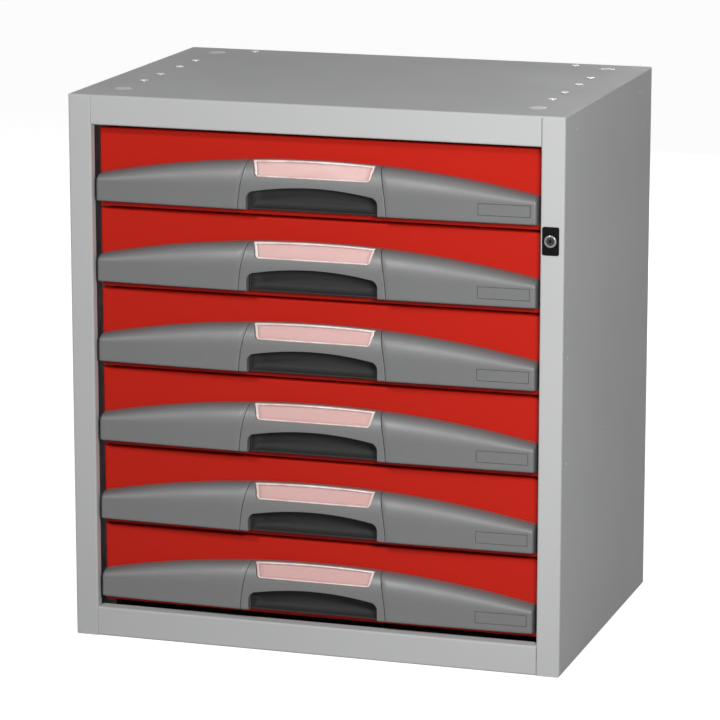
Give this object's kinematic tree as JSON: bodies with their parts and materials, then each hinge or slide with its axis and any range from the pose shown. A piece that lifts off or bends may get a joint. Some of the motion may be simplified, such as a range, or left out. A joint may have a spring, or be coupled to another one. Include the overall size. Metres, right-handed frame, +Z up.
{
  "type": "workshop drawer cabinet",
  "caption": "Low workshop cabinet of folded steel with a column of shallow ball-slide drawers, bow handles with label windows, and a stile lock with a rising bar.",
  "frame": {"origin": "centre of the whole object's footprint, at floor level", "axes": "+Z up; the drawers face and open towards -Y; +X to the right for someone facing them"},
  "size_m": [0.64, 0.4553, 0.7009],
  "materials": {
    "casing_paint": "light grey powder coat",
    "post_steel": "zinc-plated, matte",
    "slide_steel": "zinc-plated, bright",
    "drawer_steel": "grey powder coat",
    "red_paint": "red powder coat, satin",
    "handle_grey": "fine-textured moulding",
    "cup_charcoal": "fine-textured moulding",
    "label_clear": "clear, glossy",
    "lock_black": "black, satin",
    "lock_metal": "polished",
    "plug_pale": "pale grey, satin",
    "insert_zinc": "zinc-plated"
  },
  "bodies": {
    "cabinet": {"left_side": "casing_paint", "right_side": "casing_paint", "top_panel": "casing_paint", "bottom_panel": "casing_paint", "back_panel": "casing_paint", "slide_posts": "post_steel", "outer_slides": "slide_steel", "lock_case": "lock_black", "top_plugs": "plug_pale", "threaded_inserts": "insert_zinc"},
    "lock_barrel": {"lock_barrel": "lock_metal"},
    "lock_bar": {"lock_bar": "post_steel"},
    "drawer_1": {"drawer_1_tray": "drawer_steel", "drawer_1_front": "red_paint", "drawer_1_handle_wings": "handle_grey", "drawer_1_handle_bridge": "handle_grey", "drawer_1_finger_cup": "cup_charcoal", "drawer_1_label_window": "label_clear", "drawer_1_inner_slides": "slide_steel"},
    "middle_slides_1": {"drawer_1_middle_slides": "slide_steel"},
    "drawer_2": {"drawer_2_tray": "drawer_steel", "drawer_2_front": "red_paint", "drawer_2_handle_wings": "handle_grey", "drawer_2_handle_bridge": "handle_grey", "drawer_2_finger_cup": "cup_charcoal", "drawer_2_label_window": "label_clear", "drawer_2_inner_slides": "slide_steel"},
    "middle_slides_2": {"drawer_2_middle_slides": "slide_steel"},
    "drawer_3": {"drawer_3_tray": "drawer_steel", "drawer_3_front": "red_paint", "drawer_3_handle_wings": "handle_grey", "drawer_3_handle_bridge": "handle_grey", "drawer_3_finger_cup": "cup_charcoal", "drawer_3_label_window": "label_clear", "drawer_3_inner_slides": "slide_steel"},
    "middle_slides_3": {"drawer_3_middle_slides": "slide_steel"},
    "drawer_4": {"drawer_4_tray": "drawer_steel", "drawer_4_front": "red_paint", "drawer_4_handle_wings": "handle_grey", "drawer_4_handle_bridge": "handle_grey", "drawer_4_finger_cup": "cup_charcoal", "drawer_4_label_window": "label_clear", "drawer_4_inner_slides": "slide_steel"},
    "middle_slides_4": {"drawer_4_middle_slides": "slide_steel"},
    "drawer_5": {"drawer_5_tray": "drawer_steel", "drawer_5_front": "red_paint", "drawer_5_handle_wings": "handle_grey", "drawer_5_handle_bridge": "handle_grey", "drawer_5_finger_cup": "cup_charcoal", "drawer_5_label_window": "label_clear", "drawer_5_inner_slides": "slide_steel"},
    "middle_slides_5": {"drawer_5_middle_slides": "slide_steel"},
    "drawer_6": {"drawer_6_tray": "drawer_steel", "drawer_6_front": "red_paint", "drawer_6_handle_wings": "handle_grey", "drawer_6_handle_bridge": "handle_grey", "drawer_6_finger_cup": "cup_charcoal", "drawer_6_label_window": "label_clear", "drawer_6_inner_slides": "slide_steel"},
    "middle_slides_6": {"drawer_6_middle_slides": "slide_steel"}
  },
  "joints": [
    {"name": "lock_bar_rise", "type": "slide", "parent": "cabinet", "child": "lock_bar", "axis": [0, 0, 1], "range_m": [0, 0.01]},
    {"name": "lock_turn", "type": "hinge", "parent": "cabinet", "child": "lock_barrel", "pos_m": [0.303, -0.22357, 0.548], "axis": [0, 1, 0], "range_deg": [0, 90]},
    {"name": "drawer_1_pull", "type": "slide", "parent": "cabinet", "child": "drawer_1", "axis": [0, -1, 0], "range_m": [0, 0.38]},
    {"name": "middle_slides_1_run", "type": "slide", "parent": "cabinet", "child": "middle_slides_1", "axis": [0, -1, 0], "range_m": [0, 0.19]},
    {"name": "drawer_2_pull", "type": "slide", "parent": "cabinet", "child": "drawer_2", "axis": [0, -1, 0], "range_m": [0, 0.38]},
    {"name": "middle_slides_2_run", "type": "slide", "parent": "cabinet", "child": "middle_slides_2", "axis": [0, -1, 0], "range_m": [0, 0.19]},
    {"name": "drawer_3_pull", "type": "slide", "parent": "cabinet", "child": "drawer_3", "axis": [0, -1, 0], "range_m": [0, 0.38]},
    {"name": "middle_slides_3_run", "type": "slide", "parent": "cabinet", "child": "middle_slides_3", "axis": [0, -1, 0], "range_m": [0, 0.19]},
    {"name": "drawer_4_pull", "type": "slide", "parent": "cabinet", "child": "drawer_4", "axis": [0, -1, 0], "range_m": [0, 0.38]},
    {"name": "middle_slides_4_run", "type": "slide", "parent": "cabinet", "child": "middle_slides_4", "axis": [0, -1, 0], "range_m": [0, 0.19]},
    {"name": "drawer_5_pull", "type": "slide", "parent": "cabinet", "child": "drawer_5", "axis": [0, -1, 0], "range_m": [0, 0.38]},
    {"name": "middle_slides_5_run", "type": "slide", "parent": "cabinet", "child": "middle_slides_5", "axis": [0, -1, 0], "range_m": [0, 0.19]},
    {"name": "drawer_6_pull", "type": "slide", "parent": "cabinet", "child": "drawer_6", "axis": [0, -1, 0], "range_m": [0, 0.38]},
    {"name": "middle_slides_6_run", "type": "slide", "parent": "cabinet", "child": "middle_slides_6", "axis": [0, -1, 0], "range_m": [0, 0.19]}
  ],
  "couplings": [
    {"joint": "lock_turn", "follows": "lock_bar_rise", "rad_per_m": 157.08},
    {"joint": "middle_slides_1_run", "follows": "drawer_1_pull", "ratio": 0.5},
    {"joint": "middle_slides_2_run", "follows": "drawer_2_pull", "ratio": 0.5},
    {"joint": "middle_slides_3_run", "follows": "drawer_3_pull", "ratio": 0.5},
    {"joint": "middle_slides_4_run", "follows": "drawer_4_pull", "ratio": 0.5},
    {"joint": "middle_slides_5_run", "follows": "drawer_5_pull", "ratio": 0.5},
    {"joint": "middle_slides_6_run", "follows": "drawer_6_pull", "ratio": 0.5}
  ]
}
